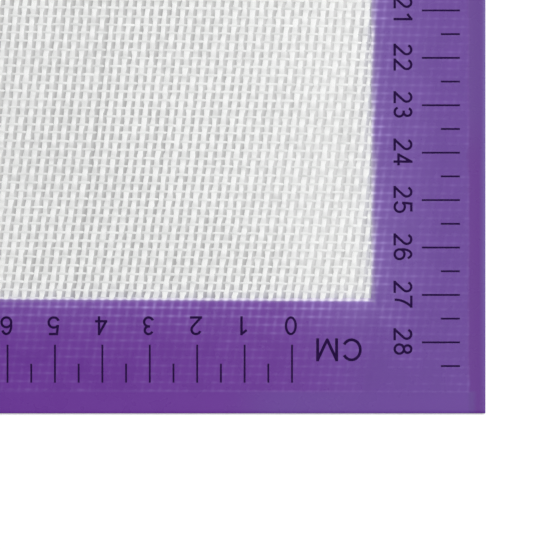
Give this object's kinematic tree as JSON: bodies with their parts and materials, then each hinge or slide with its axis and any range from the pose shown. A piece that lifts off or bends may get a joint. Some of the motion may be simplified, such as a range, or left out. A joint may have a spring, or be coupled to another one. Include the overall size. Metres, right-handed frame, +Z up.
{
  "type": "baking mat",
  "caption": "Flexible woven glass-cloth baking mat between clear silicone coats, with a coloured silicone border that carries two printed centimetre rulers.",
  "frame": {"origin": "centre of the mat, on its underside", "axes": "+X along the long side, towards the end that carries a ruler; +Y along the short side, away from the front edge that carries the other ruler; +Z up out of the printed face"},
  "size_m": [0.52, 0.315, 0.0007],
  "materials": {
    "glass_cloth": "plain-woven white glass cloth, filled with clear silicone",
    "clear_silicone": "clear silicone, satin",
    "border_silicone": "purple silicone, satin",
    "ink": "dark violet silicone ink, matte"
  },
  "bodies": {
    "root": {"glass_cloth": "glass_cloth", "lower_clear_coat": "clear_silicone", "upper_clear_coat": "clear_silicone", "lower_border": "border_silicone", "upper_border": "border_silicone", "end_ruler_numbered_marks": "ink", "end_ruler_half_marks": "ink", "end_ruler_numbers": "ink", "end_ruler_unit_label": "ink", "front_ruler_numbered_marks": "ink", "front_ruler_half_marks": "ink", "front_ruler_numbers": "ink", "front_ruler_unit_label": "ink"}
  },
  "joints": []
}
